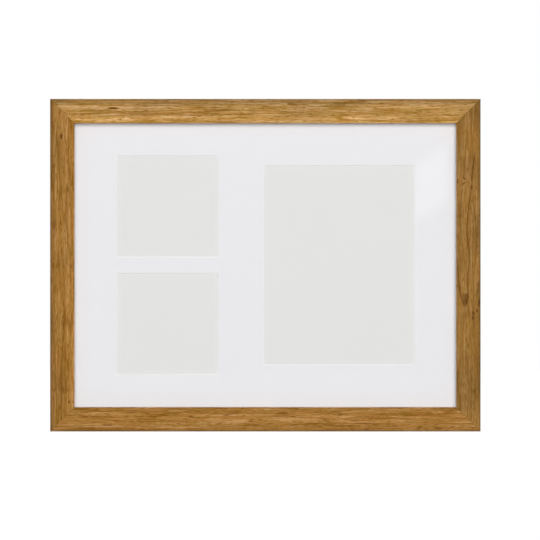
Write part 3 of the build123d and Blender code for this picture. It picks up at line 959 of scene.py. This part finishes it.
def make_bead(reach, settings):
    """The pressed bead of a turn button, from inside its sheet up to a narrower top."""
    sheet, radius = settings.button_sheet, settings.bead_width / 2
    top = -settings.button_head / 2 - settings.bead_margin - radius
    low = settings.lift_length - reach + settings.bead_margin + radius
    bead = add_disc("bead", radius, 48, sheet / 2)
    pick(bead, "VERT", lambda vert: vert.co.z < -TINY)
    bpy.ops.transform.translate(value=(0, 0, low - top))
    bpy.ops.mesh.select_all(action="SELECT")
    bpy.ops.transform.translate(value=(0, 0, top))
    middle = (0, 0, (top + low) / 2)
    half = radius + (top - low) / 2

    # Straight up to just above the sheet, then in two steps to the top
    foot = 0.05 * MM
    shoulder = settings.bead_height * 0.6
    crown = settings.bead_height - shoulder
    for rise, shrink in ((sheet / 2 + foot, 0), (shoulder - foot, 0.3 * MM), (crown, 0.35 * MM)):
        extrude(0, rise, 0)
        ratios = ((radius - shrink) / radius, 1, (half - shrink) / half)
        bpy.ops.transform.resize(value=ratios, center_override=middle)
        radius, half = radius - shrink, half - shrink
    close_up()
    return bead


def make_turn_button(settings):
    """A turn button in the XZ plane with its pivot at the origin, reaching down to a raised tip."""
    low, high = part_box("top_left_turn_button")
    reach = high.z - low.z - settings.button_radius
    button = make_button_sheet(reach, settings)
    combine(button, make_bead(reach, settings), "UNION")
    combine(button, add_bore(settings.button_shank / 2 + settings.running_gap, -1 * MM, 2 * MM))

    # The raised tip, bent in steps
    bends = 5
    spacing = 0.3 * MM
    first_row = settings.lift_length - reach + 2 * spacing
    rows = [first_row - step * spacing for step in range(bends)]
    take(button)
    bpy.ops.object.mode_set(mode="EDIT")
    for row in rows:
        slice_open((0, 0, row), (0, 0, 1))
    for row in rows:
        pick(button, "VERT", lambda vert: vert.co.z < row - TINY)
        turn = -settings.lift_angle / bends
        bpy.ops.transform.rotate(value=turn, orient_axis="X", center_override=(0, 0, row))
    close_up()
    return smooth(button, 26)


def make_strap(node, bar, settings):
    """A strap folded round the bar of a ring, with both leaves down to a rounded end and a screw hole."""
    low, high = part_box(node)
    sheet = settings.strap_sheet
    half_width = (high.x - low.x) / 2
    first_leaf = low.y + sheet / 2
    second_leaf = first_leaf + sheet + settings.strap_fold
    middle = (bar.x, first_leaf, (low.z + bar.z) / 2)
    strap = add_sheet(node + "_folded", 2 * half_width, bar.z - low.z, middle, pi / 2)
    bpy.ops.object.transform_apply()

    # Round the bar, straight in to the first leaf as the bend ends, and down along it
    wrap = radians(240)
    slope = 0.58
    open_up()
    pick(strap, "EDGE", lies_at(z=bar.z))
    bpy.ops.mesh.spin(steps=24, angle=wrap, center=bar, axis=(1, 0, 0))
    end = next(vert.co.copy() for vert in bmesh.from_edit_mesh(strap.data).verts if vert.select)
    drop = (end.y - second_leaf) * slope
    extrude(0, second_leaf - end.y, -drop)
    extrude(0, 0, low.z - end.z + drop)

    # The bend between the leaves, and rounded corners at the lower end
    bend = 0.7 * MM
    corner = half_width - 0.5 * MM
    pick(strap, "EDGE", lies_at(z=end.z - drop))
    bpy.ops.mesh.bevel(offset=bend, segments=5, affect="EDGES")
    pick(strap, "VERT", lambda vert: abs(vert.co.z - low.z) < TINY)
    bpy.ops.mesh.bevel(offset=corner, segments=10, affect="VERTICES")
    close_up()
    apply_modifier(strap, "SOLIDIFY", thickness=sheet, offset=0)
    hole = settings.hanger_shank / 2 + settings.running_gap
    fine_edge = 0.12 * MM
    combine(strap, add_bore(hole, low.y - 1 * MM, high.y + 1 * MM, bar.x, low.z + settings.strap_end))
    ease_edges(strap, fine_edge, 50)
    return smooth(strap, 35)


def make_bumper(radius, height, settings):
    """A domed rubber bumper that stands on the origin, with a moulded foot and a dimple in its flat face."""
    flat = settings.bumper_flat / 2
    foot = 0.75 * MM
    eased = 0.15 * MM
    ledge = 0.2 * MM
    sunk = 0.1 * MM
    rim = 0.3 * MM
    dimple = 1.7 * MM
    dimple_floor = 1.3 * MM
    arcs = 10
    curve = ((radius - flat) ** 2 + height**2) / (2 * (radius - flat))
    steps = [(0, radius - eased), (eased, radius), (foot - eased, radius), (foot, radius - ledge)]
    for step in range(1, arcs):
        y = foot + step / arcs * (height - foot)
        steps.append((y, radius - curve + sqrt(curve**2 - y**2) - sunk))
    steps += [(height - sunk, flat), (height, flat - rim), (height, dimple), (height - rim, dimple_floor)]
    bumper = add_turned("bumper", 48, steps)
    close_up()
    return smooth(bumper, 40)


class COLLAGEFRAME_OT_rails(Operator):
    """Models the four mitred mouldings and covers them with oak-effect foil"""

    bl_idname = "collageframe.rails"
    bl_label = "Oak Rails"

    def execute(self, context):
        settings = context.scene.collage_rails
        make_oak_grain()
        make_oak_mark()

        # Each rail's shade and the seed of its grain
        looks = {
            "top_rail": (settings.top, 1.7),
            "right_rail": (settings.right, 4.2),
            "bottom_rail": (settings.bottom, 9.3),
            "left_rail": (settings.left, 13.6),
        }
        cutter = make_fixing_cutter(context.scene.collage_fittings)
        for name, (tone, seed) in looks.items():
            rail = make_rail(name, settings)
            combine(rail, cutter, keep_tool=True)
            stand_for(rail, name, "frame", oak_foil(name, tone, settings, seed))
            smooth(rail, 30)
        bpy.data.objects.remove(cutter)
        return {"FINISHED"}


class COLLAGEFRAME_OT_glazing(Operator):
    """Makes the sheet in front of the mat clear"""

    bl_idname = "collageframe.glazing"
    bl_label = "Glazing"

    def execute(self, context):
        dress("glazing_sheet", clear_glazing())
        sheet = frame["nodes"]["glazing_sheet"]
        sheet.visible_shadow = False
        sheet.visible_diffuse = False

        # A hair of air, so that the sheet shares no plane with the mat
        air = sheet.modifiers.new("Air gap", "DISPLACE")
        air.mid_level = 0
        air.strength = -context.scene.collage_sheets.air_gap
        return {"FINISHED"}


class COLLAGEFRAME_OT_sheets(Operator):
    """Finishes the mat, the photo cards and the backing board"""

    bl_idname = "collageframe.sheets"
    bl_label = "Mat, Cards and Board"

    def execute(self, context):
        settings = context.scene.collage_sheets
        dress("mat_board", paper("white_mat", settings.mat, settings.bevel))
        card = paper("grey_card", settings.card)
        for opening in ("upper_square", "lower_square", "portrait"):
            dress(f"photo_card_{opening}", card)
        dress("backing_board", hardboard(settings))
        return {"FINISHED"}


class COLLAGEFRAME_OT_turn_buttons(Operator):
    """Presses the eight turn buttons out of zinc-plated sheet"""

    bl_idname = "collageframe.turn_buttons"
    bl_label = "Turn Buttons"

    def execute(self, context):
        settings = context.scene.collage_fittings
        zinc = zinc_plate(settings)
        pattern = make_turn_button(settings)
        for node in TURN_BUTTONS:
            turn = RAILS[node.split("_")[0] + "_rail"][0]
            place = (PIVOTS[node].x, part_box(node)[0].y, PIVOTS[node].z)
            button = settle(copy_mesh(pattern, node + "_pressing"), place, turn)
            stand_for(button, node, node, zinc)
        bpy.data.objects.remove(pattern)
        return {"FINISHED"}


class COLLAGEFRAME_OT_screws(Operator):
    """Turns the pan-head screws of the buttons and the hangers"""

    bl_idname = "collageframe.screws"
    bl_label = "Screws"

    def execute(self, context):
        settings = context.scene.collage_fittings
        zinc = bpy.data.materials["zinc_plate"]
        for node, shank, head, head_height in (
            ("turn_button_screws", settings.button_shank, settings.button_head, settings.button_head_height),
            ("hanger_screws", settings.hanger_shank, settings.hanger_head, settings.hanger_head_height),
        ):
            boxes = solid_boxes(node)
            low, high = boxes[0]
            seat = high.y - head_height
            turn = radians(37)
            pattern = make_screw(shank, head, head_height, seat - low.y, settings)
            screws = repeat(pattern, node + "_turned", boxes, seat, turn)
            stand_for(screws, node, "frame", zinc)
        return {"FINISHED"}


class COLLAGEFRAME_OT_hangers(Operator):
    """Folds the hanger straps round the bars of their rings"""

    bl_idname = "collageframe.hangers"
    bl_label = "Ring Hangers"

    def execute(self, context):
        settings = context.scene.collage_fittings
        zinc = bpy.data.materials["zinc_plate"]
        for hand in ("left", "right"):
            node, ring = hand + "_hanger_strap", hand + "_hanger_ring"
            stand_for(make_strap(node, PIVOTS[ring], settings), node, "frame", zinc)
            dress(ring, zinc)
        dress("corner_v_nails", zinc)
        return {"FINISHED"}


class COLLAGEFRAME_OT_bumpers(Operator):
    """Moulds the two rubber wall bumpers"""

    bl_idname = "collageframe.bumpers"
    bl_label = "Wall Bumpers"

    def execute(self, context):
        settings = context.scene.collage_fittings
        boxes = solid_boxes("wall_bumpers")
        low, high = boxes[0]
        pattern = make_bumper((high.x - low.x) / 2, high.y - low.y, settings)
        bumpers = repeat(pattern, "moulded_bumpers", boxes, low.y)
        stand_for(bumpers, "wall_bumpers", "frame", bumper_rubber(settings))
        return {"FINISHED"}


def backdrop_rays(nodes):
    """One for the rays that show the white surroundings: from the camera, off gloss or through glass."""
    rays = nodes.add("ShaderNodeLightPath")
    seen = nodes.calc("MAXIMUM", rays["Is Camera Ray"], rays["Is Glossy Ray"])
    return nodes.calc("MAXIMUM", seen, rays["Is Transmission Ray"])


def add_studio(settings):
    """The world: white where it is seen, and soft light from all round."""
    world = bpy.data.worlds.new("studio")
    world.use_nodes = True
    bpy.context.scene.world = world
    nodes = Nodes(world.node_tree)
    background = world.node_tree.nodes["Background"].inputs
    nodes.put(background["Color"], (1, 1, 1))
    nodes.put(background["Strength"], nodes.between(backdrop_rays(nodes), 0, 1, settings.surround, 1.0))


def add_sun(name, turn, strength, softness):
    """A broad soft light from a long way off."""
    light = bpy.data.lights.new(name, "SUN")
    light.energy = strength
    light.angle = softness
    lamp = bpy.data.objects.new(name, light)
    lamp.rotation_euler = turn
    bpy.context.scene.collection.objects.link(lamp)
    return lamp


def add_floor(settings):
    """A pale floor that is white where it is seen, apart from the frame's shadow."""
    place = (0, 0, cad_low.z - settings.floor_drop)
    floor = add_sheet("floor", settings.floor_size, settings.floor_size, place)
    nodes = Finish("pale_floor")
    floor.data.materials.append(nodes.shade(
        base_color=(0.3, 0.3, 0.3),
        roughness=1.0,
        specular_ior_level=0.0,
        emission_color=(1, 1, 1),
        emission_strength=nodes.between(backdrop_rays(nodes), 0, 1, 0, 0.75),
    ))


def add_panel(settings):
    """A slanted panel beside the camera, seen only as a faint reflection in the glazing."""
    width, height, slant = settings.panel_width, settings.panel_height, settings.panel_slant
    place = CENTRE + Vector((settings.panel_right, FRONT_Y - settings.distance, settings.panel_up))
    panel = add_sheet("mirrored_panel", width, height, place, pi / 2)
    open_up()
    pick(panel, "VERT", lambda vert: vert.co.x > 0)
    bpy.ops.transform.translate(value=(0, 0, slant))
    bpy.ops.object.mode_set(mode="OBJECT")
    panel.visible_camera = panel.visible_diffuse = panel.visible_shadow = False
    nodes = Finish("glowing_panel")
    right, _, up = nodes.split(nodes.place())
    level_up = nodes.calc("SUBTRACT", nodes.times(right, -slant / width, up), slant / 2)
    fades = [
        nodes.between(nodes.calc("ABSOLUTE", distance), half, half * 0.5)
        for distance, half in ((right, width / 2), (level_up, height / 2))
    ]
    glow = nodes.times(nodes.times(*fades), settings.panel - 1, 1.0)
    panel.data.materials.append(
        nodes.shade(base_color=(0, 0, 0), emission_color=(1, 1, 1), emission_strength=glow)
    )


def add_camera(settings):
    """A camera straight in front of the frame."""
    camera = bpy.data.cameras.new("camera")
    camera.lens = camera.sensor_width * settings.distance / settings.picture_width
    eye = bpy.data.objects.new("camera", camera)
    eye.location = CENTRE + Vector((settings.aim_right, FRONT_Y - settings.distance, -settings.aim_down))
    eye.rotation_euler = (pi / 2, 0, 0)
    bpy.context.scene.collection.objects.link(eye)
    bpy.context.scene.camera = eye


class COLLAGEFRAME_OT_stage(Operator):
    """Sets up the white surroundings, the soft light, the floor and the camera"""

    bl_idname = "collageframe.stage"
    bl_label = "Studio"

    def execute(self, context):
        settings = context.scene.collage_stage
        context.scene.view_settings.view_transform = "Standard"
        add_studio(settings)
        key_turn = (pi / 2 - settings.key_rise, 0, radians(3))
        key = add_sun("key_light", key_turn, settings.key, settings.key_width)
        key.visible_glossy = False
        key.visible_transmission = False
        rear_tilt = radians(55)
        for hand, way in (("left", 130), ("right", 230)):
            turn = (rear_tilt, 0, radians(way))
            add_sun(f"rear_{hand}_light", turn, settings.rear, settings.key_width)
        add_floor(settings)
        add_panel(settings)
        add_camera(settings)
        return {"FINISHED"}


OPERATORS = (
    COLLAGEFRAME_OT_sheets,
    COLLAGEFRAME_OT_rails,
    COLLAGEFRAME_OT_glazing,
    COLLAGEFRAME_OT_turn_buttons,
    COLLAGEFRAME_OT_screws,
    COLLAGEFRAME_OT_hangers,
    COLLAGEFRAME_OT_bumpers,
    COLLAGEFRAME_OT_stage,
)


class COLLAGEFRAME_PT_sidebar(Panel):
    """Lists the steps that dress the frame, and their settings"""

    bl_label = "Collage Frame"
    bl_idname = "COLLAGEFRAME_PT_sidebar"
    bl_space_type = "VIEW_3D"
    bl_region_type = "UI"
    bl_category = "Collage Frame"

    def draw(self, context):
        for step in OPERATORS:
            self.layout.operator(step.bl_idname)
        for holder in SETTINGS:
            settings = getattr(context.scene, holder)
            box = self.layout.box()
            for field in settings.bl_rna.properties:
                if not field.is_readonly and field.identifier != "name":
                    box.prop(settings, field.identifier)


SETTINGS = {
    "collage_rails": RailSettings,
    "collage_sheets": SheetSettings,
    "collage_fittings": FittingSettings,
    "collage_stage": StageSettings,
}
CLASSES = (*SETTINGS.values(), *OPERATORS, COLLAGEFRAME_PT_sidebar)


def register():
    """Makes the steps, the panel and the settings known."""
    for item in CLASSES:
        bpy.utils.register_class(item)
    for holder, settings in SETTINGS.items():
        setattr(bpy.types.Scene, holder, PointerProperty(type=settings))


def unregister():
    """Takes them all away again."""
    for holder in SETTINGS:
        delattr(bpy.types.Scene, holder)
    for item in reversed(CLASSES):
        bpy.utils.unregister_class(item)


def main():
    """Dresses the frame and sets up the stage."""
    register()
    make_board_fibres()
    make_metal_wear()
    bpy.ops.collageframe.sheets()
    bpy.ops.collageframe.rails()
    bpy.ops.collageframe.glazing()
    bpy.ops.collageframe.turn_buttons()
    bpy.ops.collageframe.screws()
    bpy.ops.collageframe.hangers()
    bpy.ops.collageframe.bumpers()
    bpy.ops.collageframe.stage()


if __name__ == "__main__":
    main()
